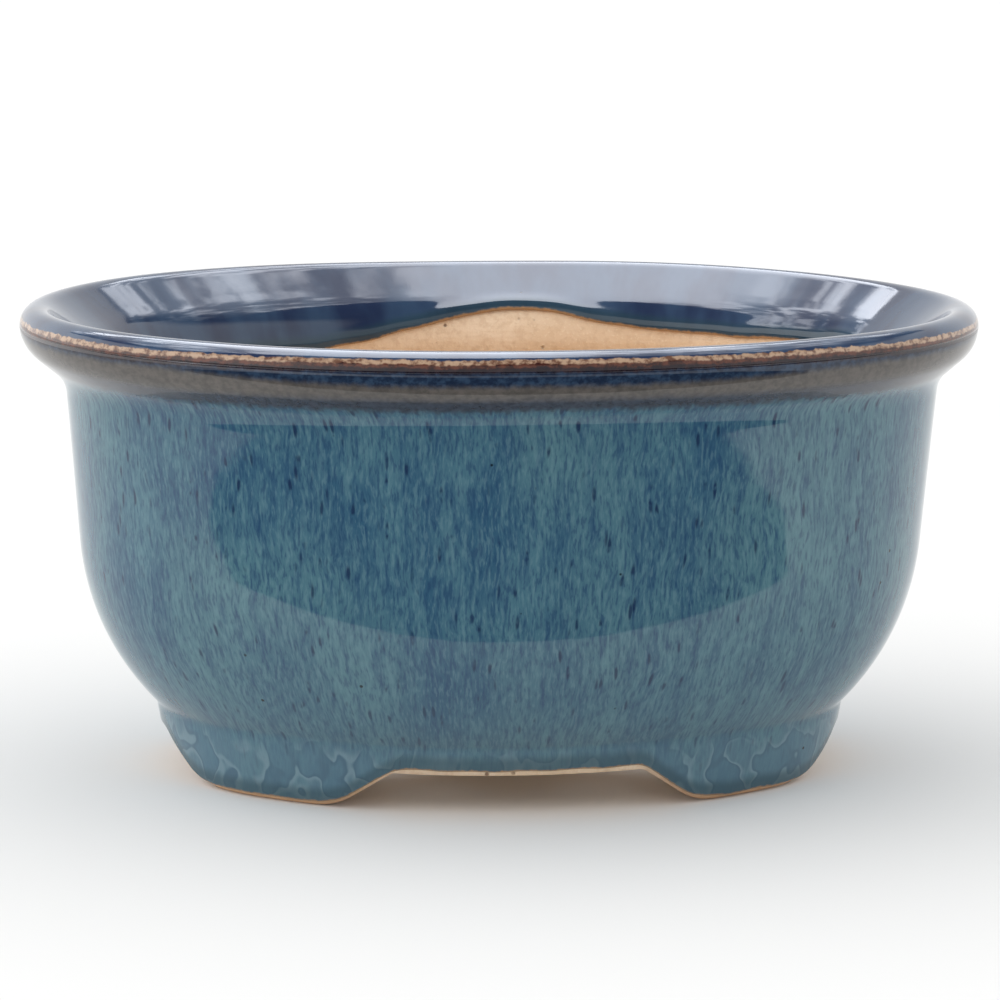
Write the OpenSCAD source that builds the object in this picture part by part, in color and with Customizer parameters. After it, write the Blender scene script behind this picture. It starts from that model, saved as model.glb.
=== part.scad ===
// Oval bonsai pot: a stoneware bowl with a rolled lip, on a foot ring cut into four feet,
// with one coat of glaze outside and a second over the lip and the top of the inside.
// The pieces are those that a potter joins with slip before the firing.
// The origin is at the middle of the sole plane: X runs along the length, the front faces -Y.

/* [Oval plan] */
// Length over the lip
pot_l = 130; // [112:1:160]
// Width over the lip
pot_w = 105; // [86:0.5:120]

/* [Upright section] */
// Height over the lip
pot_h = 63.4; // [52:0.2:78]
// Height of the waist, where the bowl meets the foot ring
waist_h = 9.3; // [7.8:0.1:11.2]
// How far the waist stands in from the lip
waist_in = 17.9; // [16.5:0.1:19.5]
// Radius of the belly above the waist
belly_r = 36.5; // [31:0.5:43]
// Angle of the belly from upright where it meets the waist
belly_turn = 44.5; // [38:0.5:48]
// Angle at which the wall above the belly leans out
wall_lean = 5.1; // [2.5:0.1:6.5]
// Thickness of the wall
wall_t = 4.6; // [3.6:0.1:5.6]
// Thickness of the floor
floor_t = 4.4; // [3.4:0.1:5.6]
// Radius of the cove between the wall and the floor
cove_r = 6; // [4:0.5:8]

/* [Lip] */
// Radius of the lip's round edge
nose_r = 2.5; // [2:0.1:3]
// Radius of the roll under the edge
roll_r = 5.2; // [4.2:0.2:6.2]
// Angle from upright at which the lip flares out
lip_flare = 50; // [44:1:56]
// Radius of the hollow outside, where the lip leaves the wall
throat_r = 4.3; // [3.3:0.1:5.3]
// Radius of the shoulder inside, where the lip meets the wall
shoulder_r = 8; // [6:0.5:9.5]
// Depth of the seam between the lip and the wall, below the top
lip_seam = 13.4; // [13:0.2:16]

/* [Foot ring] */
// How far the foot leans in from the waist to the sole
foot_lean = 2; // [1.4:0.1:2.8]
// Thickness of the foot ring at the sole
foot_t = 7; // [5.8:0.1:8.6]
// Radius of the sole's inner and outer edges
sole_r = 0.8; // [0.4:0.1:1.2]
// Height of the openings between the feet
cut_h = 5.6; // [4.6:0.1:6.8]
// Width of the openings at the front and back, at half their height
front_cut_w = 40; // [32:1:44]
// From the lip's side in to the slope of the end openings, at half their height
end_cut_in = 40.5; // [38:0.5:43]
// Slope of the feet's shoulders
cut_slope = 36; // [30:1:46]
// Radius at an opening's top corners
cut_top_r = 4; // [2:0.5:5]
// Radius where a foot's shoulder runs out at the sole
cut_toe_r = 8; // [5:0.5:9]

/* [Holes in the floor] */
// Diameter of a drain hole
drain_d = 14; // [10:0.5:17]
// Distance between the two drain holes
drain_gap = 36; // [30:1:42]
// Diameter of a wire hole
wire_d = 4.5; // [3:0.5:6]
// Distance between the wire holes along the pot
wire_gap = 24; // [8:1:26]
// Distance from the foot ring in to a wire hole's centre
wire_edge = 7; // [4:0.5:8]

/* [Glaze] */
// Thickness of the glaze
glaze_t = 0.6; // [0.4:0.1:0.9]
// Bare clay left above the sole and round the openings
bare_edge = 0.6; // [0.4:0.1:1.2]
// How far down the inside the glaze reaches, below the top
inner_glaze_drop = 8.4; // [6:0.2:12]

/* [Hidden] */
$fn = 96;

// Overshoot that takes a cutter clear of what it cuts
past = 1;
clay = [0.86, 0.72, 0.57];
glaze_blue = [0.27, 0.42, 0.51];
glaze_navy = [0.20, 0.27, 0.38];

// The four-centre oval, drawn on 3-4-5 triangles: the centres of the end arcs lie on X and
// those of the side arcs on Y, and the arcs meet, tangent, on the line through both centres
half_l = pot_l / 2;
half_w = pot_w / 2;
unit = (half_l - half_w) / 2;
end_x = 3 * unit;
side_y = 4 * unit;
end_r = half_l - end_x;
side_r = half_w + side_y;
meet = [3, 4];
meet_a = atan2(meet[1], meet[0]);

// Levels of the seams
floor_top = waist_h + floor_t;
seam_z = pot_h - lip_seam;
glaze_end_z = pot_h - inner_glaze_drop;
nose_z = pot_h - nose_r;

// A section point is [how far in from the outermost oval, height]. Angles are measured from
// the outward direction, so 0 points out of the pot, 90 up and 180 in towards its middle.
function aim(a) = [-cos(a), sin(a)];
function arc(centre, r, from, to, n) =
    [for (i = [0:n]) centre + r * aim(from + (to - from) * i / n)];
// Where two sloping lines cross, each given by a point and its angle from upright
function crossing(p, a, q, b) =
    let (z = (p[0] - q[0] + p[1] * tan(a) - q[1] * tan(b)) / (tan(a) - tan(b)))
    [q[0] + (q[1] - z) * tan(b), z];
// Centre of the arc that rounds the corner between the lip's slope and the wall below it,
// on the outward side of both
function corner_centre(corner, r) =
    let (run = r * tan((lip_flare - wall_lean) / 2))
    corner - run * aim(90 - wall_lean) - r * aim(180 - wall_lean);

// The glaze's outer face, from the sole to the edge: foot, belly, wall, throat, slope and roll
function foot_in(z) = let (u = 1 - z / waist_h) waist_in + foot_lean * (2 * u + u * u) / 3;
belly_c = [waist_in, waist_h] - belly_r * aim(-belly_turn);
belly_top = belly_c + belly_r * aim(-wall_lean);
roll_c = [roll_r, nose_z];
throat = crossing(roll_c + roll_r * aim(-lip_flare), lip_flare, belly_top, wall_lean);
throat_c = corner_centre(throat, throat_r);
function foot_face(deep) = [for (i = [0:6]) let (z = waist_h * i / 6) [foot_in(z) + deep, z]];
function bowl_face(deep) = concat(
    arc(belly_c, belly_r - deep, -belly_turn, -wall_lean, 16),
    arc(throat_c, throat_r + deep, 180 - wall_lean, 180 - lip_flare, 7),
    arc(roll_c, roll_r - deep, -lip_flare, 0, 7));

// The face inside, from the edge to the floor: nose, bevel, shoulder, wall, belly and cove
skin_t = wall_t + 2 * glaze_t;
nose_c = [nose_r, nose_z];
inner_top = belly_c + (belly_r - skin_t) * aim(-wall_lean);
shoulder = crossing(nose_c + nose_r * aim(180 - lip_flare), lip_flare, inner_top, wall_lean);
shoulder_c = corner_centre(shoulder, shoulder_r);
cove_z = floor_top + cove_r;
cove_a = asin((belly_c[1] - cove_z) / (belly_r - wall_t - glaze_t - cove_r));
cove_c = [belly_c[0] - (belly_c[1] - cove_z) / tan(cove_a), cove_z];
function lip_face(deep) = concat(
    arc(nose_c, nose_r - deep, 0, 180 - lip_flare, 14),
    arc(shoulder_c, shoulder_r - deep, 180 - lip_flare, 180 - wall_lean, 9));
inside_face = concat(
    arc(belly_c, belly_r - wall_t - glaze_t, -wall_lean, -cove_a, 10),
    arc(cove_c, cove_r, -cove_a, -90, 6));

// The slab's edge lies under the end of the cove, and the foot ring reaches in beneath the slab
slab_in = cove_c[0];
ring_in = foot_in(0) + glaze_t + foot_t;

// The end openings take up a change of the pot's width, so that its feet keep their soles
end_cut_w = 2 * (half_w - end_cut_in);

function flipped(points) = [for (i = [len(points) - 1:-1:0]) points[i]];
function but_first(points) = [for (i = [1:len(points) - 1]) points[i]];

module band(low, high) {
    translate([-past, low]) square([half_w, high - low]);
}

module bowl_section() {
    polygon(concat([[waist_in + glaze_t, waist_h]], bowl_face(glaze_t),
                   but_first(lip_face(glaze_t)), inside_face, [[slab_in, waist_h]]));
}

module foot_section() {
    out_c = [foot_in(sole_r) + glaze_t + sole_r, sole_r];
    in_c = [ring_in - sole_r, sole_r];
    polygon(concat([for (p = foot_face(glaze_t)) if (p[1] > sole_r) p], [[ring_in, waist_h]],
                   arc(in_c, sole_r, -180, -90, 4), arc(out_c, sole_r, -90, 0, 4)));
}

// Carries a section round one arc of the plan, between two directions from the arc's centre
module swept(centre, r, from, to) {
    reach = pot_l;
    translate(centre) intersection() {
        rotate_extrude() translate([r, 0]) mirror([1, 0]) children();
        translate([0, 0, -past]) linear_extrude(pot_h + 2 * past)
            polygon([[0, 0], reach * from, reach * to]);
    }
}

// Carries a section round the whole oval
module oval_ring() {
    for (way = [-1, 1]) {
        swept([way * end_x, 0, 0], end_r, way * [3, -4], way * meet) children();
        swept([0, -way * side_y, 0], side_r, way * meet, way * [-3, 4]) children();
    }
}

// Carries a section round the quarter where X and Y are above 0
module quarter_ring() {
    swept([end_x, 0, 0], end_r, [3, 0], meet) children();
    swept([0, -side_y, 0], side_r, meet, [0, 4]) children();
}

// Corners that lie this far in from the outermost oval, all the way round
function plan_points(inset, n) =
    let (end = [for (i = [1:n - 1]) let (a = meet_a * (2 * i / n - 1))
                [end_x, 0] + (end_r - inset) * [cos(a), sin(a)]],
         side = [for (i = [1:n - 1]) let (a = meet_a + (180 - 2 * meet_a) * i / n)
                 [0, -side_y] + (side_r - inset) * [cos(a), sin(a)]])
    concat(end, side, -end, -side);

// One side of an opening between two feet, from its top to where a foot's shoulder runs out
// at the sole; w is the width at half the height
function cut_drop(r) = r * (1 - cos(cut_slope));
function cut_x(w, z) = w / 2 + (cut_h / 2 - z) / tan(cut_slope);
function cut_side(w) =
    let (top_x = cut_x(w, cut_h - cut_drop(cut_top_r)) - cut_top_r * sin(cut_slope),
         toe_x = cut_x(w, cut_drop(cut_toe_r)) + cut_toe_r * sin(cut_slope))
    concat([for (i = [0:6]) let (a = cut_slope * i / 6)
            [top_x, cut_h - cut_top_r] + cut_top_r * [sin(a), cos(a)]],
           [for (i = [6:-1:0]) let (a = cut_slope * i / 6)
            [toe_x, cut_toe_r] - cut_toe_r * [sin(a), cos(a)]],
           [[toe_x, -past]]);

// Outline of all that lies within one shoulder of an opening
module cut_shoulder(w) {
    polygon(concat([[-pot_l, -past], [-pot_l, cut_h]], cut_side(w)));
}

// Cutter for the openings on both sides of the pot, running along Y. In a narrow opening the
// two shoulders meet below its full height.
module opening(w) {
    rotate([90, 0, 0]) linear_extrude(pot_l, center = true) intersection() {
        cut_shoulder(w);
        mirror([1, 0]) cut_shoulder(w);
    }
}

module openings() {
    opening(front_cut_w);
    rotate([0, 0, 90]) opening(end_cut_w);
}

// The bowl's side, from the foot ring up to the lip; its lower end is rebated for the slab
module wall() {
    color(clay) oval_ring() intersection() {
        bowl_section();
        band(waist_h, seam_z);
    }
}

// The rolled lip, from the seam on the wall to the round edge
module lip_roll() {
    color(clay) oval_ring() intersection() {
        bowl_section();
        band(seam_z, pot_h);
    }
}

// Flat floor that rests on the foot ring inside the wall, with two drain and four wire holes.
// It is a ring with an exact edge, filled by a polygon whose corners lie inside the ring.
module floor_slab(rim = 8) {
    wire_y = half_w - ring_in - wire_edge;
    color(clay) difference() {
        union() {
            oval_ring() translate([slab_in, waist_h]) square([rim, floor_t]);
            translate([0, 0, waist_h]) linear_extrude(floor_t)
                polygon(plan_points(slab_in + rim / 2, 8));
        }
        for (x = [-drain_gap / 2, drain_gap / 2])
            translate([x, 0, waist_h - past]) cylinder(d = drain_d, h = floor_t + 2 * past);
        for (x = [-wire_gap / 2, wire_gap / 2], y = [-wire_y, wire_y])
            translate([x, y, waist_h - past]) cylinder(d = wire_d, h = floor_t + 2 * past);
    }
}

// The unbroken part of the foot ring, above the openings
module foot_band() {
    color(clay) oval_ring() intersection() {
        foot_section();
        band(cut_h, waist_h);
    }
}

// One foot, in the quarter where X and Y are above 0
module foot() {
    color(clay) difference() {
        quarter_ring() intersection() {
            foot_section();
            band(0, cut_h);
        }
        openings();
    }
}

// Glaze over the outside, from the lip's edge to just above the sole
module outer_glaze() {
    color(glaze_blue) difference() {
        oval_ring() intersection() {
            polygon(concat(foot_face(0), but_first(bowl_face(0)),
                           flipped(bowl_face(glaze_t)), flipped(foot_face(glaze_t))));
            band(bare_edge, pot_h);
        }
        translate([0, 0, bare_edge]) openings();
    }
}

// Glaze over the top of the lip and down the head of the inside
module inner_glaze() {
    color(glaze_navy) oval_ring() intersection() {
        polygon(concat(lip_face(0), flipped(lip_face(glaze_t))));
        band(glaze_end_z, pot_h + past);
    }
}

wall();
lip_roll();
floor_slab();
foot_band();
rotate([0, 0, 180]) foot();  // foot_front_left
mirror([0, 1, 0]) foot();  // foot_front_right
mirror([1, 0, 0]) foot();  // foot_back_left
foot();  // foot_back_right
outer_glaze();
inner_glaze();
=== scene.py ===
import math

import bpy
import bmesh
import numpy as np
from mathutils import Matrix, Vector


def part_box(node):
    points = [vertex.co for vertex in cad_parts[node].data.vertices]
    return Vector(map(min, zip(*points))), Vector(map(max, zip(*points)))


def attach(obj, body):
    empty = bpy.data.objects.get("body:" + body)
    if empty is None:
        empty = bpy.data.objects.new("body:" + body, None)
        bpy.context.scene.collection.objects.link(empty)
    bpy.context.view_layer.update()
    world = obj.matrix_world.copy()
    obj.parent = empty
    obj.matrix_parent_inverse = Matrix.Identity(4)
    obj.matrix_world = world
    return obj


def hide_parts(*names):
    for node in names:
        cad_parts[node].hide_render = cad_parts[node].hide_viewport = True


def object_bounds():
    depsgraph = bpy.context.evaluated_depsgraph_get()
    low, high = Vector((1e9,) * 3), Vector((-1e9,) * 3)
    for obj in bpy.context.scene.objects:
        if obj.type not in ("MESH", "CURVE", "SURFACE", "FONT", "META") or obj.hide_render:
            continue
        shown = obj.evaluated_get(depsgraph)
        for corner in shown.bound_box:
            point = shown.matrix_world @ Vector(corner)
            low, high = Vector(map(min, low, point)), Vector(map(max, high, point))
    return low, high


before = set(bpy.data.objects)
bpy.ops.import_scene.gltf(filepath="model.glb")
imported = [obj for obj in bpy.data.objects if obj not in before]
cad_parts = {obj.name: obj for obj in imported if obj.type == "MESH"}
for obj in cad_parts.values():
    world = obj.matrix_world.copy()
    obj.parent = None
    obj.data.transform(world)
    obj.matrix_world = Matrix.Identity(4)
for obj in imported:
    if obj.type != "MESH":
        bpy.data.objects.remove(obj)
cad_box = [list(corner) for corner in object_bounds()]

# --- Bowl wall -------------------------------------------------------------------------------
# The side of the bowl, in buff stoneware, pressed over a mould and smoothed with a rib. It
# stands on the floor slab and the foot ring, luted to both with slip, and is bare inside.

mm = 0.001
half_l, half_w, pot_h = cad_box[1]
waist_h, floor_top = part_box("floor_slab")[0].z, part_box("floor_slab")[1].z
seam_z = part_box("wall")[1].z
glaze_t = 0.6 * mm
waist_in = 17.9 * mm
belly_r, belly_turn = 36.5 * mm, math.radians(44.5)
wall_lean = math.radians(5.1)
wall_t = 4.6 * mm
cove_r = 6 * mm
nose_r, roll_r = 2.5 * mm, 5.2 * mm
lip_flare = math.radians(50)
throat_r, shoulder_r = 4.3 * mm, 8 * mm

# The plan is a four-centre oval drawn on 3-4-5 triangles: the lip's edge, the outermost line
unit = (half_l - half_w) / 2
end_x, side_y = 3 * unit, 4 * unit
end_r, side_r = half_l - end_x, half_w + side_y
MEET_SINE = 0.8


def aim(angle):
    """A direction in an upright section: 0 points out of the pot, a quarter turn points up."""
    return np.array([-math.cos(angle), math.sin(angle)])


def arc(centre, radius, start, end, steps):
    """Section points along an arc. A point is how far in from the lip's edge, and height."""
    return [centre + radius * aim(a) for a in np.linspace(start, end, steps + 1)]


def crossing(p, a, q, b):
    """Where two sloping lines cross, each given by a point and its angle from upright."""
    z = (p[0] - q[0] + p[1] * math.tan(a) - q[1] * math.tan(b)) / (math.tan(a) - math.tan(b))
    return np.array([q[0] + (q[1] - z) * math.tan(b), z])


def corner_centre(corner, radius):
    """Centre of the arc that rounds the corner between the lip's slope and the wall."""
    run = radius * math.tan((lip_flare - wall_lean) / 2)
    return corner - run * aim(math.pi / 2 - wall_lean) - radius * aim(math.pi - wall_lean)


belly_c = np.array([waist_in, waist_h]) - belly_r * aim(-belly_turn)
belly_top = belly_c + belly_r * aim(-wall_lean)
nose_c = np.array([nose_r, pot_h - nose_r])
roll_c = np.array([roll_r, pot_h - nose_r])
throat_c = corner_centre(
    crossing(roll_c + roll_r * aim(-lip_flare), lip_flare, belly_top, wall_lean), throat_r)
skin_r = belly_r - wall_t - 2 * glaze_t
inner_top = belly_c + skin_r * aim(-wall_lean)
shoulder_c = corner_centre(
    crossing(nose_c + nose_r * aim(math.pi - lip_flare), lip_flare, inner_top, wall_lean),
    shoulder_r)
cove_z = floor_top + cove_r
cove_a = math.asin((belly_c[1] - cove_z) / (skin_r + glaze_t - cove_r))
cove_c = np.array([belly_c[0] - (belly_c[1] - cove_z) / math.tan(cove_a), cove_z])
slab_in = cove_c[0]


def outer_face(deep):
    """The bowl's outside from the waist up to the lip's edge, this deep below the glaze."""
    return (arc(belly_c, belly_r - deep, -belly_turn, -wall_lean, 40)
            + arc(throat_c, throat_r + deep, math.pi - wall_lean, math.pi - lip_flare, 14)
            + arc(roll_c, roll_r - deep, -lip_flare, 0, 16))


def inner_face(deep):
    """The bowl's inside from the lip's edge over the top and down, this deep below the glaze."""
    return (arc(nose_c, nose_r - deep, 0, math.pi - lip_flare, 18)
            + arc(shoulder_c, shoulder_r - deep, math.pi - lip_flare, math.pi - wall_lean, 12)
            + arc(belly_c, skin_r + deep, -wall_lean, -cove_a, 20)
            + arc(cove_c, cove_r, -cove_a, -math.pi / 2, 10))


def respaced(points, gap):
    """The same path with its points about this far apart."""
    points = np.array(points)
    run = np.concatenate([[0], np.cumsum(np.linalg.norm(np.diff(points, axis=0), axis=1))])
    keep = np.concatenate([[True], np.diff(run) > 1e-9])
    at = np.linspace(0, run[-1], max(2, round(run[-1] / gap) + 1))
    return [np.array(p) for p in zip(*(np.interp(at, run[keep], points[keep, k]) for k in (0, 1)))]


def stretch_of(points, low, high):
    """The part of a path that lies between two heights."""
    out = []
    for a, b in zip(points[:-1], points[1:]):
        for level in sorted((low, high), key=lambda h: abs(h - a[1])):
            if (a[1] - level) * (b[1] - level) < 0:
                out.append(a + (b - a) * (level - a[1]) / (b[1] - a[1]))
        if low <= b[1] <= high:
            out.append(b)
    return ([points[0]] if low <= points[0][1] <= high else []) + out


class Socket:
    """An output of a node that takes part in sums as a number does."""

    def __init__(self, recipe, output):
        self.recipe, self.output = recipe, output

    def _sum(self, operation, a, b):
        return self.recipe.get("ShaderNodeMath", {"operation": operation}, {0: a, 1: b})

    def __add__(self, other):
        return self._sum("ADD", self, other)

    def __sub__(self, other):
        return self._sum("SUBTRACT", self, other)

    def __rsub__(self, other):
        return self._sum("SUBTRACT", other, self)

    def __mul__(self, other):
        return self._sum("MULTIPLY", self, other)

    def __gt__(self, other):
        return self._sum("GREATER_THAN", self, other)

    def __abs__(self):
        return self._sum("ABSOLUTE", self, 0)

    __radd__, __rmul__ = __add__, __mul__


class Recipe:
    """A node tree written down as expressions."""

    def __init__(self, tree):
        self.tree = tree
        tree.nodes.clear()

    def node(self, kind, settings=None, inputs=None):
        """Adds a node: its settings first, then the values or links of its sockets."""
        made = self.tree.nodes.new(kind)
        for name, value in (settings or {}).items():
            setattr(made, name, value)
        for key, value in (inputs or {}).items():
            if isinstance(value, Socket):
                self.tree.links.new(value.output, made.inputs[key])
            else:
                made.inputs[key].default_value = value
        return made

    def get(self, kind, settings=None, inputs=None, out=0):
        """Adds a node and returns one of its outputs."""
        return Socket(self, self.node(kind, settings, inputs).outputs[out])

    def parts(self, vector):
        """The X, Y and Z of a vector."""
        split = self.node("ShaderNodeSeparateXYZ", None, {0: vector})
        return [Socket(self, output) for output in split.outputs]


CLAY_STEPS, GLAZE_STEPS = 400, 560

# One node tree carries a section round the oval, as a template is run round a pot
RING_INPUTS = {"Section": "Geometry", "End centre": "Float", "Side centre": "Float",
               "End radius": "Float", "Side radius": "Float", "Steps": "Int",
               "Finish": "Material"}
ring_tree = bpy.data.node_groups.new("section_round_oval", "GeometryNodeTree")
turn = Recipe(ring_tree)
for label, kind in RING_INPUTS.items():
    ring_tree.interface.new_socket(label, in_out="INPUT", socket_type="NodeSocket" + kind)
ring_tree.interface.new_socket("Ring", in_out="OUTPUT", socket_type="NodeSocketGeometry")
given = {s.name: Socket(turn, s) for s in turn.node("NodeGroupInput").outputs}
circle = turn.get("GeometryNodeCurvePrimitiveCircle", None, {"Resolution": given["Steps"]})
away_x, away_y, _ = turn.parts(turn.get("GeometryNodeInputPosition"))
on_side = abs(away_y) > MEET_SINE
on_end = 1 - on_side
reach = on_end * given["End radius"] + on_side * given["Side radius"]
plan_x = away_x * reach + on_end * given["End centre"] * turn.get(
    "ShaderNodeMath", {"operation": "SIGN"}, {0: away_x})
plan_y = away_y * reach - on_side * given["Side centre"] * turn.get(
    "ShaderNodeMath", {"operation": "SIGN"}, {0: away_y})
place = turn.get("ShaderNodeCombineXYZ", None, {0: plan_x, 1: plan_y})
oval = turn.get("GeometryNodeSetPosition", None, {"Geometry": circle, "Position": place})
template = turn.get("GeometryNodeMeshToCurve", None, {"Mesh": given["Section"]})
body = turn.get("GeometryNodeCurveToMesh", None, {"Curve": oval, "Profile Curve": template})
smooth = turn.get("GeometryNodeSetShadeSmooth", None, {0: body})
real = turn.get("GeometryNodeRealizeInstances", None, {0: smooth})
finished = turn.get("GeometryNodeSetMaterial", None, {0: real, "Material": given["Finish"]})
turn.node("NodeGroupOutput", None, {"Ring": finished})


def link(name, mesh):
    """Puts a mesh in the scene as an object at the origin."""
    piece = bpy.data.objects.new(name, mesh)
    bpy.context.scene.collection.objects.link(piece)
    return piece


def ring(name, loop, finish, steps=CLAY_STEPS, along=None, deep=None):
    """Carries a closed section round the oval. The section's points may hold two values, how
    far along the face they are and how deep below it, which the ring's points then have."""
    count = len(loop)
    mesh = bpy.data.meshes.new(name + "_template")
    # The sweep lays a section's X outwards and its Y downwards
    mesh.from_pydata([(-p[0], -p[1], 0) for p in loop],
                     [(k, (k + 1) % count) for k in range(count)], [])
    for label, values in (("along", along), ("deep", deep)):
        if values is not None:
            mesh.attributes.new(label, "FLOAT", "POINT").data.foreach_set("value", values)
    guide = link(name + "_template", mesh)
    sweep = guide.modifiers.new("sweep", "NODES")
    sweep.node_group = ring_tree
    values = {"End centre": end_x, "Side centre": side_y, "End radius": end_r,
              "Side radius": side_r, "Steps": steps, "Finish": finish}
    for item in ring_tree.interface.items_tree:
        if item.name in values:
            sweep[item.identifier] = values[item.name]
    ready = guide.evaluated_get(bpy.context.evaluated_depsgraph_get())
    made = bpy.data.meshes.new_from_object(ready)
    bpy.data.objects.remove(guide)
    made.name = name
    shape = bmesh.new()
    shape.from_mesh(made)
    if shape.calc_volume(signed=True) < 0:
        bmesh.ops.reverse_faces(shape, faces=shape.faces)
    shape.to_mesh(made)
    shape.free()
    return link(name, made)


def rows_of(piece):
    """A piece's corners as rows of X, Y and Z."""
    flat = np.empty(len(piece.data.vertices) * 3)
    piece.data.vertices.foreach_get("co", flat)
    return flat.reshape(-1, 3)


def move_rows(piece, rows):
    piece.data.vertices.foreach_set("co", rows.ravel())
    piece.data.update()


# Handwork leaves the pot a little out of true: long waves that every piece shares
hand = np.random.default_rng(11)
WAVES = [(hand.normal(size=3), hand.uniform(0, 2 * math.pi), hand.normal(size=3))
         for _ in range(7)]
WAVE_LENGTH, WAVE_SIZE, SOLE_CALM = 62 * mm, 0.075 * mm, 6 * mm
BODY_ASIDE, LIP_TRUE, LIP_EASE = 0.4 * mm, 60 * mm, 8 * mm


def handmade(piece):
    """Moves a piece's corners with the waves, less near the sole, which is rubbed flat, and
    sets the bowl a little to the right under its lip."""
    rows = rows_of(piece)
    rows[:, 0] += BODY_ASIDE * np.clip((LIP_TRUE - rows[:, 2]) / LIP_EASE, 0, 1)
    calm = np.clip(rows[:, 2] / SOLE_CALM, 0, 1)[:, None]
    shift = sum(np.sin(rows @ (way / np.linalg.norm(way)) * 2 * math.pi / WAVE_LENGTH + phase
                       )[:, None] * push for way, phase, push in WAVES)
    move_rows(piece, rows + shift * WAVE_SIZE * calm)


def tint(red, green, blue):
    """A colour as mixed on a screen, in the shader's linear values."""
    return tuple(((c / 255 + 0.055) / 1.055) ** 2.4 for c in (red, green, blue)) + (1.0,)


def ramp(mix, value, low, high):
    """0 below low and 1 above high, with a soft change between them."""
    return mix.get("ShaderNodeMapRange", {"interpolation_type": "SMOOTHSTEP"},
                   {"Value": value, "From Min": low, "From Max": high})


def blend(mix, share, first, second):
    """A colour between two, where a share of 0 is the first."""
    return mix.get("ShaderNodeMix", {"data_type": "RGBA"}, {0: share, 6: first, 7: second}, out=2)


def cloud(mix, where, scale, detail=2.0, rough=0.5):
    """Soft noise from 0 to 1, whose lumps are about one part in scale of a metre wide."""
    return mix.get("ShaderNodeTexNoise", None, {
        "Vector": where, "Scale": scale, "Detail": detail, "Roughness": rough})


def stretched(mix, where, x, y, z):
    return mix.get("ShaderNodeVectorMath", {"operation": "MULTIPLY"}, {0: where, 1: (x, y, z)})


def surface(mix, colour, roughness, height, relief, **extra):
    """Ends a material: relief is the height in metres that a full step of height stands for."""
    bump = mix.get("ShaderNodeBump", None, {"Height": height, "Distance": relief})
    values = {"Base Color": colour, "Roughness": roughness, "Normal": bump}
    values.update(extra)
    glazed = mix.get("ShaderNodeBsdfPrincipled", None, values)
    mix.node("ShaderNodeOutputMaterial", None, {"Surface": glazed})


def stoneware():
    """Bare buff stoneware: sandy grog, darker grains, pinholes, and a tan that deepens towards the
    sole.
    """
    material = bpy.data.materials.new("buff_stoneware")
    material.use_nodes = True
    mix = Recipe(material.node_tree)
    where = mix.get("ShaderNodeTexCoord", out=3)
    height = mix.parts(where)[2]
    broad = cloud(mix, where, 55, 3)
    fine = cloud(mix, where, 900, 3, 0.6)
    grain = cloud(mix, where, 2700, 2, 0.6)
    wiped = cloud(mix, stretched(mix, where, 1, 1, 8), 130)
    rare = ramp(mix, cloud(mix, where, 300), 0.54, 0.62)
    pits = mix.get("ShaderNodeTexVoronoi", None, {"Vector": where, "Scale": 620})
    pit = (1 - ramp(mix, pits, 0.08, 0.22)) * rare
    colour = blend(mix, ramp(mix, broad, 0.35, 0.68), tint(240, 217, 190), tint(230, 203, 172))
    colour = blend(mix, ramp(mix, fine, 0.44, 0.66) * 0.4, colour, tint(212, 180, 146))
    colour = blend(mix, ramp(mix, grain, 0.56, 0.7) * 0.5, colour, tint(246, 228, 204))
    colour = blend(mix, pit * 0.8, colour, tint(120, 86, 62))
    # Darker and tanner towards the sole
    low = 1 - ramp(mix, height + (broad - 0.5) * 0.006, 0.0, 0.007)
    colour = blend(mix, low * 0.75, colour, tint(190, 146, 108))
    relief = fine * 0.5 + grain * 0.25 + wiped * 0.45 - pit
    surface(mix, colour, 0.74 + (fine - 0.5) * 0.3, relief, 0.25 * mm,
            **{"Specular IOR Level": 0.3})
    return material


clay = stoneware()
wall_loop = (stretch_of(outer_face(glaze_t), waist_h, seam_z)
             + respaced(stretch_of(inner_face(glaze_t), floor_top, seam_z), 0.8 * mm)
             + [np.array([slab_in, waist_h]), np.array([waist_in + glaze_t, waist_h])])
bowl_wall = ring("bowl_wall", wall_loop, clay)
handmade(bowl_wall)
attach(bowl_wall, "root")
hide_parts("wall")

# --- Lip roll --------------------------------------------------------------------------------
# The rolled lip, a thick coil of the same clay that is luted to the top of the wall, pulled
# outwards and rounded between wet fingers. Glaze covers all of it but the foot of its inside.

lip_loop = (stretch_of(outer_face(glaze_t), seam_z, pot_h)
            + stretch_of(inner_face(glaze_t), seam_z, pot_h))
lip_roll = ring("lip_coil", lip_loop, clay)
handmade(lip_roll)
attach(lip_roll, "root")
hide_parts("lip_roll")

# --- Floor slab ------------------------------------------------------------------------------
# The floor, cut from a rolled slab and let into the wall above the foot ring. Its two drain
# holes and four wire holes are cut while it is soft, and their edges are wiped round.

drain_d, drain_gap = 14 * mm, 36 * mm
wire_d, wire_gap, wire_y = 4.5 * mm, 24 * mm, 18 * mm
HOLE_ROUND, SLAB_SHARP = 0.9 * mm, math.radians(32)


def oval_line(inset, steps):
    """Corners of the plan's oval, this far in from the lip's edge."""
    line = []
    for angle in np.linspace(0, 2 * math.pi, steps, endpoint=False):
        x, y = math.cos(angle), math.sin(angle)
        if abs(y) > MEET_SINE:
            line.append(((side_r - inset) * x, (side_r - inset) * y - math.copysign(side_y, y)))
        else:
            line.append(((end_r - inset) * x + math.copysign(end_x, x), (end_r - inset) * y))
    return line


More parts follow.
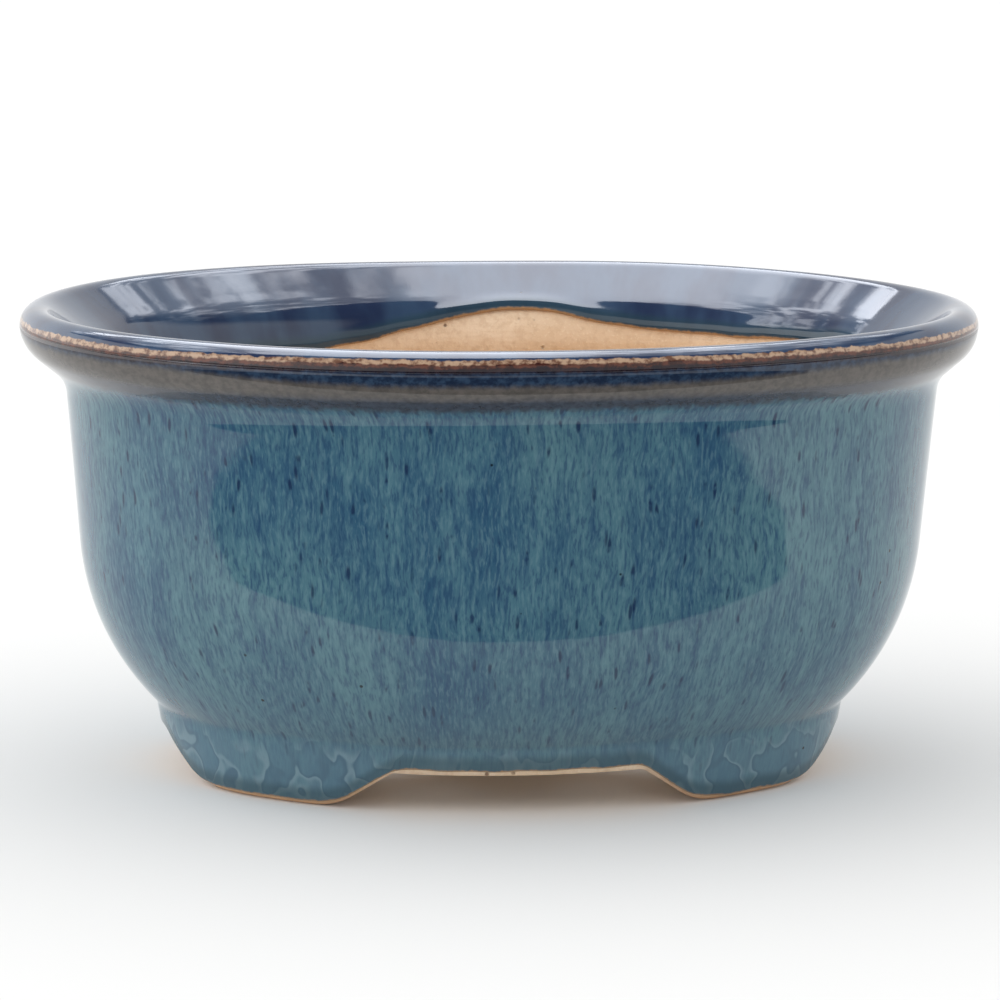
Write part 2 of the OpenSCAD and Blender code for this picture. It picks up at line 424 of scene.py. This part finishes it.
def lathe(shape, profile, x, y, steps=48):
    """Turns a closed upright profile of radius and height about an axis at x, y."""
    turned = [[shape.verts.new((x + r * math.cos(a), y + r * math.sin(a), z)) for r, z in profile]
              for a in np.linspace(0, 2 * math.pi, steps, endpoint=False)]
    for k in range(steps):
        one, two = turned[k], turned[(k + 1) % steps]
        for j in range(len(profile) - 1):
            shape.faces.new((one[j], two[j], two[j + 1], one[j + 1]))
    shape.faces.new([row[0] for row in reversed(turned)])
    shape.faces.new([row[-1] for row in turned])


slab_mesh = bmesh.new()
outline = oval_line(slab_in, 200)
below = [slab_mesh.verts.new((x, y, waist_h)) for x, y in outline]
above = [slab_mesh.verts.new((x, y, floor_top)) for x, y in outline]
for k in range(len(outline)):
    slab_mesh.faces.new((below[k - 1], below[k], above[k], above[k - 1]))
slab_mesh.faces.new(above)
slab_mesh.faces.new(list(reversed(below)))
slab_data = bpy.data.meshes.new("floor_slab_clay")
slab_mesh.to_mesh(slab_data)
slab_mesh.free()
floor_piece = link("floor_slab_clay", slab_data)
slab_data.materials.append(clay)

drill = bmesh.new()
flare = [(HOLE_ROUND * (1 - math.sin(a)), HOLE_ROUND * (1 - math.cos(a)))
         for a in np.linspace(0, math.pi / 2, 6)]
holes = [(x, 0, drain_d / 2) for x in (-drain_gap / 2, drain_gap / 2)]
holes += [(x, y, wire_d / 2) for x in (-wire_gap / 2, wire_gap / 2) for y in (-wire_y, wire_y)]
for x, y, radius in holes:
    wide = radius + HOLE_ROUND
    profile = ([(wide, waist_h - mm)]
               + [(radius + out, waist_h + up) for out, up in flare]
               + [(radius + out, floor_top - up) for out, up in reversed(flare)]
               + [(wide, floor_top + mm)])
    lathe(drill, profile, x, y)
drill_data = bpy.data.meshes.new("drill")
drill.to_mesh(drill_data)
drill.free()
cutter = link("drill", drill_data)
cut = floor_piece.modifiers.new("holes", "BOOLEAN")
cut.operation, cut.solver, cut.object = "DIFFERENCE", "EXACT", cutter
drilled = bpy.data.meshes.new_from_object(
    floor_piece.evaluated_get(bpy.context.evaluated_depsgraph_get()))
floor_piece.modifiers.clear()
floor_piece.data = drilled
bpy.data.objects.remove(cutter)
drilled.shade_smooth()
drilled.set_sharp_from_angle(angle=SLAB_SHARP)
handmade(floor_piece)
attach(floor_piece, "root")
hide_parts("floor_slab")

# --- Foot band -------------------------------------------------------------------------------
# The unbroken top of the foot ring, a strap of clay luted under the wall and the floor. It
# bridges the four openings.

foot_lean = 2 * mm
foot_t = 7 * mm
sole_r = 0.8 * mm
cut_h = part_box("foot_band")[0].z


def foot_in(z):
    """How far in from the lip's edge the glazed face of the foot ring stands at a height."""
    up = 1 - z / waist_h
    return waist_in + foot_lean * (2 * up + up * up) / 3


ring_in = foot_in(0) + glaze_t + foot_t
band_loop = ([np.array([foot_in(z) + glaze_t, z]) for z in np.linspace(cut_h, waist_h, 5)]
             + [np.array([ring_in, z]) for z in np.linspace(waist_h, cut_h, 4)])
foot_band = ring("foot_ring_band", band_loop, clay)
handmade(foot_band)
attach(foot_band, "root")
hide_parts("foot_band")

# --- Feet ------------------------------------------------------------------------------------
# Four feet left standing where the foot ring is cut away, low and cloud-shaped, with sloping
# shoulders. Their soles are wiped clean of glaze and rubbed flat, and stand on the shelf.

front_cut_w, end_cut_w = 40 * mm, 24 * mm
cut_slope = math.radians(36)
cut_top_r, cut_toe_r = 4 * mm, 8 * mm
SHORT_CUT, FEATHER = 2 * mm, 0.999
ROUND_OFF = math.radians(50)
FOOT_NAMES = {(-1, -1): "front_left", (1, -1): "front_right",
              (-1, 1): "back_left", (1, 1): "back_right"}


def opening_edge(width):
    """Half the outline of an opening, from its flat top out to the toe of a foot's shoulder."""
    def side(z):
        return width / 2 + (cut_h / 2 - z) / math.tan(cut_slope)

    fall = 1 - math.cos(cut_slope)
    top_x = side(cut_h - cut_top_r * fall) - cut_top_r * math.sin(cut_slope)
    toe_x = side(cut_toe_r * fall) + cut_toe_r * math.sin(cut_slope)
    turns = np.linspace(0, cut_slope, 9)
    return ([(top_x + cut_top_r * math.sin(a), cut_h - cut_top_r * (1 - math.cos(a)))
             for a in turns]
            + [(toe_x - cut_toe_r * math.sin(a), cut_toe_r * (1 - math.cos(a)))
               for a in reversed(turns)])


FRONT_EDGE, END_EDGE = np.array(opening_edge(front_cut_w)), np.array(opening_edge(end_cut_w))


def opening_height(rows):
    """How high the openings reach above each point of the plan. The left one is cut short at
    the front, so that foot is longer than its fellows."""
    front = np.interp(np.abs(rows[:, 0]), *FRONT_EDGE.T)
    short = SHORT_CUT * ((rows[:, 0] < 0) & (rows[:, 1] < 0))
    end = np.interp(np.abs(rows[:, 1]) + short, *END_EDGE.T)
    return np.maximum(front, end)


foot_loop = ([np.array([foot_in(z) + glaze_t, z]) for z in np.linspace(cut_h, sole_r, 6)]
             + arc(np.array([foot_in(sole_r) + glaze_t + sole_r, sole_r]), sole_r,
                   0, -math.pi / 2, 6)[1:]
             + arc(np.array([ring_in - sole_r, sole_r]), sole_r, -math.pi / 2, -math.pi, 6)
             + [np.array([ring_in, z]) for z in np.linspace(sole_r, cut_h, 6)[1:]])
feet = ring("feet", foot_loop, clay, steps=GLAZE_STEPS)
rows = rows_of(feet)
open_to = opening_height(rows)
# A foot feathers out where the opening is full height right through the ring
open_through = np.repeat(open_to.reshape(GLAZE_STEPS, -1).min(axis=1) > FEATHER * cut_h,
                         len(foot_loop))
rows[:, 2] = cut_h - (cut_h - rows[:, 2]) * (1 - open_to / cut_h)
move_rows(feet, rows)
for (way_x, way_y), place_name in FOOT_NAMES.items():
    shape = bmesh.new()
    shape.from_mesh(feet.data)
    shape.verts.ensure_lookup_table()
    gone = [v for v in shape.verts
            if open_through[v.index] or v.co.x * way_x < 0 or v.co.y * way_y < 0]
    bmesh.ops.delete(shape, geom=gone, context="VERTS")
    bmesh.ops.holes_fill(shape, edges=shape.edges)
    bmesh.ops.recalc_face_normals(shape, faces=shape.faces)
    mesh = bpy.data.meshes.new("foot_" + place_name + "_clay")
    shape.to_mesh(mesh)
    shape.free()
    mesh.materials.append(clay)
    mesh.set_sharp_from_angle(angle=ROUND_OFF)
    foot = link("foot_" + place_name + "_clay", mesh)
    handmade(foot)
    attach(foot, "root")
    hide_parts("foot_" + place_name)
bpy.data.objects.remove(feet)

# --- Outer glaze -----------------------------------------------------------------------------
# Rutile blue glaze, poured over the outside and fired until it ran. It hangs in streaks down
# the belly, pools and curdles at the waist and the feet, and ends in a bead above the sole.

bare_edge = 0.6 * mm
WAIST_FILL, WAIST_ROUNDS, PATH_GAP = 0.9 * mm, 30, 0.1 * mm
EDGE_KEEP, EDGE_BLEND = 0.9 * mm, 15 * mm
EDGE_WAVER = 0.16 * mm


def face_path(points):
    """A face's points close together, how far along each one is, and the way into the clay."""
    line = np.array(respaced(points, PATH_GAP))
    run = np.concatenate([[0], np.cumsum(np.linalg.norm(np.diff(line, axis=0), axis=1))])
    way = np.gradient(line, axis=0)
    way /= np.linalg.norm(way, axis=1)[:, None]
    return line, run, np.stack([way[:, 1], -way[:, 0]], axis=1)


def on_face(path, along, deep):
    """Section points that lie along a face and deep below it."""
    line, run, inward = path
    spot = np.stack([np.interp(along, run, line[:, k]) for k in (0, 1)], axis=1)
    into = np.stack([np.interp(along, run, inward[:, k]) for k in (0, 1)], axis=1)
    return spot + into * np.asarray(deep)[:, None]


def oval_parts(rows):
    """For points of the plan: the arc's centre, its radius, and the way out of the pot."""
    x, y = rows[:, 0], rows[:, 1]
    end = np.abs(y) * 3 <= (np.abs(x) - end_x) * 4
    centre = np.stack([np.where(end, np.sign(x) * end_x, 0),
                       np.where(end, 0, -np.sign(y) * side_y)], axis=1)
    out = rows[:, :2] - centre
    return centre, np.where(end, end_r, side_r), out / np.linalg.norm(out, axis=1)[:, None]


def read_value(piece, label):
    values = np.empty(len(piece.data.vertices))
    piece.data.attributes[label].data.foreach_get("value", values)
    return values


def lay_on(piece, path, along, deep):
    """Lays a skin's corners on a face: along it and deep below it, where each stands in plan."""
    rows = rows_of(piece)
    centre, radius, out = oval_parts(rows)
    spot = on_face(path, along, deep)
    flat = centre + out * (radius - spot[:, 0])[:, None]
    move_rows(piece, np.column_stack([flat, spot[:, 1]]))
    return centre + out * (radius - 10 * mm)[:, None]


def keep_flow(piece, round_the_pot, run, edge):
    """Stores where the glaze is on its way down, and how far it is from its bare edge."""
    flow = np.column_stack([round_the_pot, run])
    piece.data.attributes.new("flow", "FLOAT_VECTOR", "POINT").data.foreach_set(
        "vector", flow.ravel())
    piece.data.attributes.new("edge", "FLOAT", "POINT").data.foreach_set("value", edge)


def round_plan(rows, seed, bends):
    """A smooth wavering value from -1 to 1 round the pot, with about this many bends."""
    angle = np.arctan2(rows[:, 1] / half_w, rows[:, 0] / half_l)
    draw = np.random.default_rng(seed)
    total = sum(np.sin(k * angle + draw.uniform(0, 2 * math.pi)) * draw.uniform(0.4, 1)
                for k in range(1, bends))
    return total / np.abs(total).max()


def rutile_glaze(name):
    """Rutile blue: streaked where it ran, buff and brown where it is thin over the edge."""
    material = bpy.data.materials.new(name)
    material.use_nodes = True
    mix = Recipe(material.node_tree)
    where = mix.get("ShaderNodeTexCoord", out=3)
    height = mix.parts(where)[2]
    flow = mix.get("ShaderNodeAttribute", {"attribute_name": "flow"}, out=1)
    edge = mix.get("ShaderNodeAttribute", {"attribute_name": "edge"}, out=2)
    ragged = cloud(mix, stretched(mix, flow, 1, 1, 0.6), 900, 3, 0.6) - 0.5
    run = mix.parts(flow)[2] * (1 / mm)

    # The belly: soft hanging streaks of blue, navy and grey-green, with dark pointed dashes
    swirl = mix.get("ShaderNodeVectorMath", {"operation": "ADD"}, {0: flow, 1: mix.get(
        "ShaderNodeVectorMath", {"operation": "SCALE"},
        {0: mix.get("ShaderNodeTexNoise", None, {"Vector": flow, "Scale": 110, "Detail": 2},
                    out=1), "Scale": 1.6 * mm})})
    hair = cloud(mix, stretched(mix, swirl, 1, 1, 0.2), 2700, 2, 0.6)
    streak = cloud(mix, stretched(mix, swirl, 1, 1, 0.15), 900, 3, 0.6)
    sheet = cloud(mix, stretched(mix, swirl, 1, 1, 0.35), 150, 3, 0.55)
    broad = cloud(mix, stretched(mix, flow, 1, 1, 0.6), 38, 2)
    belly = blend(mix, ramp(mix, sheet, 0.36, 0.66), tint(48, 84, 108), tint(70, 107, 122))
    belly = blend(mix, ramp(mix, broad, 0.42, 0.68) * 0.5, belly, tint(88, 124, 130))
    belly = blend(mix, ramp(mix, streak, 0.48, 0.68) * 0.5, belly, tint(38, 68, 100))
    belly = blend(mix, (1 - ramp(mix, streak, 0.32, 0.48)) * 0.3, belly, tint(92, 126, 136))
    belly = blend(mix, ramp(mix, hair, 0.5, 0.66) * 0.5, belly, tint(32, 56, 92))
    belly = blend(mix, (1 - ramp(mix, hair, 0.34, 0.48)) * 0.35, belly, tint(100, 132, 142))
    drops = mix.get("ShaderNodeTexVoronoi", None, {
        "Vector": stretched(mix, swirl, 1, 1, 0.22), "Scale": 860})
    sparse = ramp(mix, cloud(mix, flow, 330), 0.43, 0.56)
    belly = blend(mix, (1 - ramp(mix, drops, 0.12, 0.28)) * sparse * 0.75, belly, tint(20, 32, 66))

    # The foot and the waist: the thick glaze curdles into curls with paler rims
    curl_warp = mix.get("ShaderNodeVectorMath", {"operation": "ADD"}, {0: where, 1: mix.get(
        "ShaderNodeVectorMath", {"operation": "SCALE"},
        {0: mix.get("ShaderNodeTexNoise", None, {"Vector": where, "Scale": 170, "Detail": 1},
                    out=1), "Scale": 6 * mm})})
    curl = cloud(mix, stretched(mix, curl_warp, 1, 1, 0.75), 240, 1, 0.4)
    rim = ramp(mix, curl, 0.42, 0.5) * (1 - ramp(mix, curl, 0.51, 0.535))
    heart = ramp(mix, curl, 0.515, 0.54)
    shade = heart * (1 - ramp(mix, curl, 0.54, 0.6))
    curd = blend(mix, 0.55, belly, tint(92, 122, 134))
    curd = blend(mix, heart * 0.5, curd, tint(60, 96, 118))
    curd = blend(mix, shade * 0.55, curd, tint(44, 68, 92))
    curd = blend(mix, rim * 0.6, curd, tint(128, 152, 160))
    low = 1 - ramp(mix, height * (1 / mm) + (sheet - 0.5) * 9, 5.5, 10.5)
    colour = blend(mix, low * 0.9, belly, curd)
    # Paler towards the bottom, below about 24 mm
    colour = blend(mix, (1 - ramp(mix, height * (1 / mm), 5, 24)) * 0.3, colour,
                   tint(92, 124, 138))

    # Under the lip, where the roll and the throat face down: a dark violet band, then dull olive
    # grey, then dark blue on the roll, each the glaze's colour darkened with painted shade
    mottle = cloud(mix, flow, 1100, 3, 0.65)
    aside = ramp(mix, abs(mix.parts(flow)[0]), 14 * mm, 46 * mm)
    lip_run = run + ragged * 0.9 - aside * 0.65 + (broad - 0.5) * 1.2
    violet = blend(mix, ramp(mix, mottle, 0.35, 0.65), tint(42, 46, 56), tint(56, 62, 74))
    colour = blend(mix, 1 - ramp(mix, lip_run + ragged * 1.6, 5.6, 7.6), colour, violet)
    olive = blend(mix, ramp(mix, mottle, 0.3, 0.7), tint(74, 71, 68), tint(92, 87, 83))
    colour = blend(mix, 1 - ramp(mix, lip_run, 2.9, 4.7), colour, olive)
    # The roll's dark blue is partly painted shade, where the roll faces the table
    roll = blend(mix, ramp(mix, mottle, 0.38, 0.66), tint(24, 36, 56), tint(44, 62, 84))
    colour = blend(mix, 1 - ramp(mix, run + ragged * 0.9 + aside * 0.8, 1.2, 2.3), colour, roll)

    # Over the edge: thin glaze breaks dark, then brown, then buff, and is deep navy inside
    dark = blend(mix, ramp(mix, mottle, 0.4, 0.7), tint(26, 18, 26), tint(48, 32, 36))
    colour = blend(mix, 1 - ramp(mix, lip_run, -0.35, 0.15), colour, dark)
    brown = blend(mix, ramp(mix, mottle, 0.35, 0.62), tint(48, 20, 16), tint(92, 50, 36))
    colour = blend(mix, 1 - ramp(mix, lip_run, -0.9, -0.6), colour, brown)
    buff = blend(mix, ramp(mix, mottle, 0.36, 0.58), tint(104, 72, 56), tint(176, 148, 124))
    colour = blend(mix, 1 - ramp(mix, lip_run, -1.35, -1.1), colour, buff)
    navy = blend(mix, ramp(mix, sheet, 0.35, 0.65), tint(30, 44, 74), tint(48, 70, 98))
    colour = blend(mix, 1 - ramp(mix, lip_run, -1.95, -1.75), colour, navy)

    # The free edge: a teal pool, then a thin tan line where the glaze is gone
    off = edge * (1 / mm) + ragged * 0.5
    colour = blend(mix, (1 - ramp(mix, off, 1.2, 2.8)) * 0.6, colour, tint(40, 66, 76))
    colour = blend(mix, 1 - ramp(mix, off, 0.1, 0.42), colour, tint(160, 126, 92))

    specks = mix.get("ShaderNodeTexVoronoi", None, {"Vector": where, "Scale": 300})
    few = ramp(mix, cloud(mix, where, 140), 0.6, 0.64)
    speck = (1 - ramp(mix, specks, 0.05, 0.09)) * few
    colour = blend(mix, speck * 0.9, colour, tint(16, 16, 20))
    ripple = cloud(mix, where, 120, 1) * 1.0 + cloud(mix, flow, 340, 1) * 0.18
    relief = ripple + hair * 0.02 + rim * low * 0.06 - speck * 0.25
    surface(mix, colour, 0.06 + (mottle - 0.3) * 0.06, relief, 0.05 * mm, **{"IOR": 1.52})
    return material


foot_face = [np.array([foot_in(z), z]) for z in np.linspace(0, waist_h, 24)]
sharp = np.array(respaced(foot_face + outer_face(0)[1:], PATH_GAP))
near = np.linalg.norm(sharp - np.array([waist_in, waist_h]), axis=1)
eased = sharp.copy()
for _ in range(WAIST_ROUNDS):
    eased[1:-1] = (eased[:-2] + 2 * eased[1:-1] + eased[2:]) / 4
share = np.clip(1.6 - near / WAIST_FILL, 0, 1)[:, None]
outside = face_path(sharp * (1 - share) + eased * share)
outside_run = outside[1][-1]
edge_run = float(np.interp(bare_edge, outside[0][:, 1], outside[1]))
skin_run = outside_run - edge_run

bead = [(glaze_t / 2 * (1 - math.cos(a)), glaze_t / 2 * (1 - math.sin(a)))
        for a in np.linspace(math.pi / 2, -math.pi / 2, 9)]
skin = [(a, 0.0) for a in np.linspace(skin_run, 0.5 * mm, 118)]
skin += [(a, d) for a, d in bead]
skin += [(a, glaze_t) for a in np.linspace(0.8 * mm, skin_run, 22)]
skin_along, skin_deep = (np.array(v) for v in zip(*skin))
skin_loop = on_face(outside, edge_run + skin_along, skin_deep)
outer = ring("outer_glaze_skin", list(skin_loop), rutile_glaze("streaked_blue_glaze"),
             steps=GLAZE_STEPS, along=skin_along, deep=skin_deep)
rows = rows_of(outer)
along, deep = read_value(outer, "along"), read_value(outer, "deep")
lift = np.interp(bare_edge + opening_height(rows) + EDGE_WAVER * round_plan(rows, 5, 40),
                 outside[0][:, 1], outside[1]) - edge_run
packed = EDGE_KEEP + (along - EDGE_KEEP) * (EDGE_BLEND - EDGE_KEEP - lift) / (
    EDGE_BLEND - EDGE_KEEP)
near_edge = np.where(along < EDGE_KEEP, along, packed) + lift
spot_along = edge_run + np.where(along < EDGE_BLEND, near_edge, along)
flat_plan = lay_on(outer, outside, spot_along, deep)
keep_flow(outer, flat_plan, outside_run - spot_along, np.where(along < EDGE_BLEND,
                                                              near_edge - lift, along))
handmade(outer)
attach(outer, "root")
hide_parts("outer_glaze")

# --- Inner glaze -----------------------------------------------------------------------------
# The same glaze over the lip and down the head of the inside, where it ran unevenly before it
# set. Its lower edge is a thick wavering bead against the bare clay.

glaze_end_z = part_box("inner_glaze")[0].z
POOL_DEEP, POOL_WIDE = 0.3 * mm, 2.4 * mm
NOSE_KEEP = 5 * mm
# How far the glaze ran: directions in the plan, in degrees, and the height of its edge in mm
RUNS = [(-180, 54.8), (-155, 55.6), (-128, 53.8), (-100, 55.4), (-72, 54.2), (-40, 55.6),
        (-12, 54.4), (6, 55.2), (22, 55.1), (33, 54.4), (46, 54.3), (58, 54.5), (66, 55.3),
        (80, 57.8), (94, 56.3), (102, 55.2), (110, 53.4), (118, 52.3), (130, 51.8), (146, 52.2),
        (162, 54.0), (180, 54.8)]

inside = face_path(inner_face(0))
end_run = float(np.interp(-glaze_end_z, -inside[0][:, 1], inside[1]))
coat = [(a, 0.0) for a in np.linspace(0, end_run - 0.5 * mm, 60)]
coat += [(end_run - glaze_t / 2 * (1 - math.cos(a)), glaze_t / 2 * (1 - math.sin(a)))
         for a in np.linspace(math.pi / 2, -math.pi / 2, 9)]
coat += [(a, glaze_t) for a in np.linspace(end_run - 0.8 * mm, 0, 16)]
coat_along, coat_deep = (np.array(v) for v in zip(*coat))
inner = ring("inner_glaze_skin", list(on_face(inside, coat_along, coat_deep)),
             rutile_glaze("deep_blue_glaze"), steps=GLAZE_STEPS, along=coat_along, deep=coat_deep)
rows = rows_of(inner)
along, deep = read_value(inner, "along"), read_value(inner, "deep")
facing = np.degrees(np.arctan2(rows[:, 1], rows[:, 0]))
RUN_AT, RUN_TO = np.array(RUNS).T
soft = np.mean([np.interp((facing + nudge + 180) % 360 - 180, RUN_AT, RUN_TO)
                for nudge in np.linspace(-7, 7, 9)], axis=0)
ends = np.interp(-(soft + 0.25 * round_plan(rows, 8, 46)) * mm, -inside[0][:, 1], inside[1])
from_edge = end_run - along
spread = NOSE_KEEP + (along - NOSE_KEEP) * (ends - mm - NOSE_KEEP) / (end_run - mm - NOSE_KEEP)
spot_along = np.where(along < NOSE_KEEP, along, np.where(from_edge < mm, ends - from_edge, spread))
from_edge = ends - spot_along
pool = POOL_DEEP * np.exp(-((from_edge - 1.1 * mm) / (POOL_WIDE / 2)) ** 2)
flat_plan = lay_on(inner, inside, spot_along, deep - pool * (1 - deep / glaze_t))
keep_flow(inner, flat_plan, -spot_along, from_edge)
handmade(inner)
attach(inner, "root")
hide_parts("inner_glaze")

# --- Studio ----------------------------------------------------------------------------------
# A pale table top that runs out of sight, white light from all round that is stronger on the
# left, and two things that only the glaze sees: a bright window overhead with dim patches of
# leaves at its sides, and a faintly glowing dark sheet on the table in front, a painted dark
# reflection on the belly.


def card(name, corners):
    """A flat sheet of the studio, from its corners in order."""
    mesh = bpy.data.meshes.new(name)
    mesh.from_pydata(corners, [], [tuple(range(len(corners)))])
    sheet = link(name, mesh)
    return sheet


def only_in_gloss(sheet):
    sheet.visible_camera = sheet.visible_diffuse = sheet.visible_shadow = False
    sheet.visible_transmission = sheet.visible_volume_scatter = False


WINDOW_MIDDLE, WINDOW_STRENGTH, LEAF_SCALE = 0.1, 8.0, 5.0
WINDOW_CORNERS, WINDOW_HEIGHT = [(-1.3, -0.1), (1.1, -0.1), (1.1, 1.4), (-1.3, 1.4)], 1.1
# Outline and height of the painted dark reflection: a sheet lying where the table is white
DARK_REFLECTION_CORNERS = [(-0.35, -0.6), (0.3, -0.6), (0.145, -0.19), (0.145, -0.085), (0.12, -0.07),
                 (-0.145, -0.07), (-0.165, -0.085), (-0.165, -0.19)]
DARK_REFLECTION_LIFT = 2 * mm
ALL_ROUND, FROM_LEFT, FROM_RIGHT, LESS_IN_FRONT, BACKDROP = 1.15, 0.95, 0.15, 0.45, 1.02


def glow(name, colour, strength):
    material = bpy.data.materials.new(name)
    material.use_nodes = True
    mix = Recipe(material.node_tree)
    light = mix.get("ShaderNodeEmission", None, {"Color": colour, "Strength": strength})
    mix.node("ShaderNodeOutputMaterial", None, {"Surface": light})
    return material


table = card("table_top", [(-4, -3, 0), (4, -3, 0), (4, 9, 0), (-4, 9, 0)])
table_paint = bpy.data.materials.new("table_paint")
table_paint.use_nodes = True
mix = Recipe(table_paint.node_tree)
paint = mix.get("ShaderNodeBsdfDiffuse", None, {"Color": (0.83, 0.83, 0.825, 1)})
mix.node("ShaderNodeOutputMaterial", None, {"Surface": paint})
table.data.materials.append(table_paint)

window = card("window_card", [(x, y, WINDOW_HEIGHT) for x, y in WINDOW_CORNERS])
pane = bpy.data.materials.new("window_light")
pane.use_nodes = True
mix = Recipe(pane.node_tree)
spot = mix.get("ShaderNodeTexCoord", out=3)
off_middle = abs(mix.parts(spot)[0] + WINDOW_MIDDLE)
leaves = ramp(mix, cloud(mix, spot, LEAF_SCALE, 4, 0.65), 0.41, 0.53)
leaves = leaves * ramp(mix, off_middle, 0.15, 0.4)
bright = (1 - leaves * 0.8) * (1 - ramp(mix, off_middle, 0.6, 1.1) * 0.9)
light = mix.get("ShaderNodeEmission", None, {
    "Color": blend(mix, bright, (0, 0, 0, 1), (0.9, 0.93, 1.0, 1)), "Strength": WINDOW_STRENGTH})
mix.node("ShaderNodeOutputMaterial", None, {"Surface": light})
window.data.materials.append(pane)
only_in_gloss(window)

# A faintly glowing dark sheet that only reflections see: a painted dark reflection on the belly's
# front
painted_dark_reflection = card("dark_card", [(x, y, DARK_REFLECTION_LIFT) for x, y in DARK_REFLECTION_CORNERS])
painted_dark_reflection.data.materials.append(glow("painted_dark_reflection", (0.5, 0.7, 1.0, 1), 0.05))
only_in_gloss(painted_dark_reflection)

world = bpy.data.worlds.new("studio")
bpy.context.scene.world = world
world.use_nodes = True
sky = Recipe(world.node_tree)
rays = sky.node("ShaderNodeLightPath")
across, back, up = sky.parts(sky.get("ShaderNodeTexCoord"))
left, right, front = (ramp(sky, side, 0.1, 0.95) for side in (0 - across, across, 0 - back))
seen = Socket(sky, rays.outputs["Is Camera Ray"])
walls = ALL_ROUND + left * FROM_LEFT + right * FROM_RIGHT - front * LESS_IN_FRONT
strength = seen * BACKDROP + (1 - seen) * walls
dim = ramp(sky, up, 0.56, 0.68) * Socket(sky, rays.outputs["Is Glossy Ray"])
light = blend(sky, dim, (1, 1, 1, 1), (0.12, 0.13, 0.18, 1))
shine = sky.get("ShaderNodeBackground", None, {"Color": light, "Strength": strength})
sky.node("ShaderNodeOutputWorld", None, {"Surface": shine})
bpy.context.scene.view_settings.view_transform = "Standard"

# --- Camera ----------------------------------------------------------------------------------
# Level with the rim and a little to the left, far enough off to keep the oval's shape true.

FOCAL_LENGTH, SENSOR = 149.6, 36
CAMERA_AT = (-0.0428, -0.5584, 0.1324)
LOOK_DOWN, LOOK_RIGHT, TILT = math.radians(9.752), math.radians(4.401), math.radians(0.243)
lens = bpy.data.cameras.new("camera")
lens.lens, lens.sensor_width = FOCAL_LENGTH, SENSOR
camera = bpy.data.objects.new("camera", lens)
bpy.context.scene.collection.objects.link(camera)
camera.matrix_world = (Matrix.Translation(CAMERA_AT)
                       @ Matrix.Rotation(-LOOK_RIGHT, 4, "Z")
                       @ Matrix.Rotation(math.pi / 2 - LOOK_DOWN, 4, "X")
                       @ Matrix.Rotation(TILT, 4, "Z"))
bpy.context.scene.camera = camera
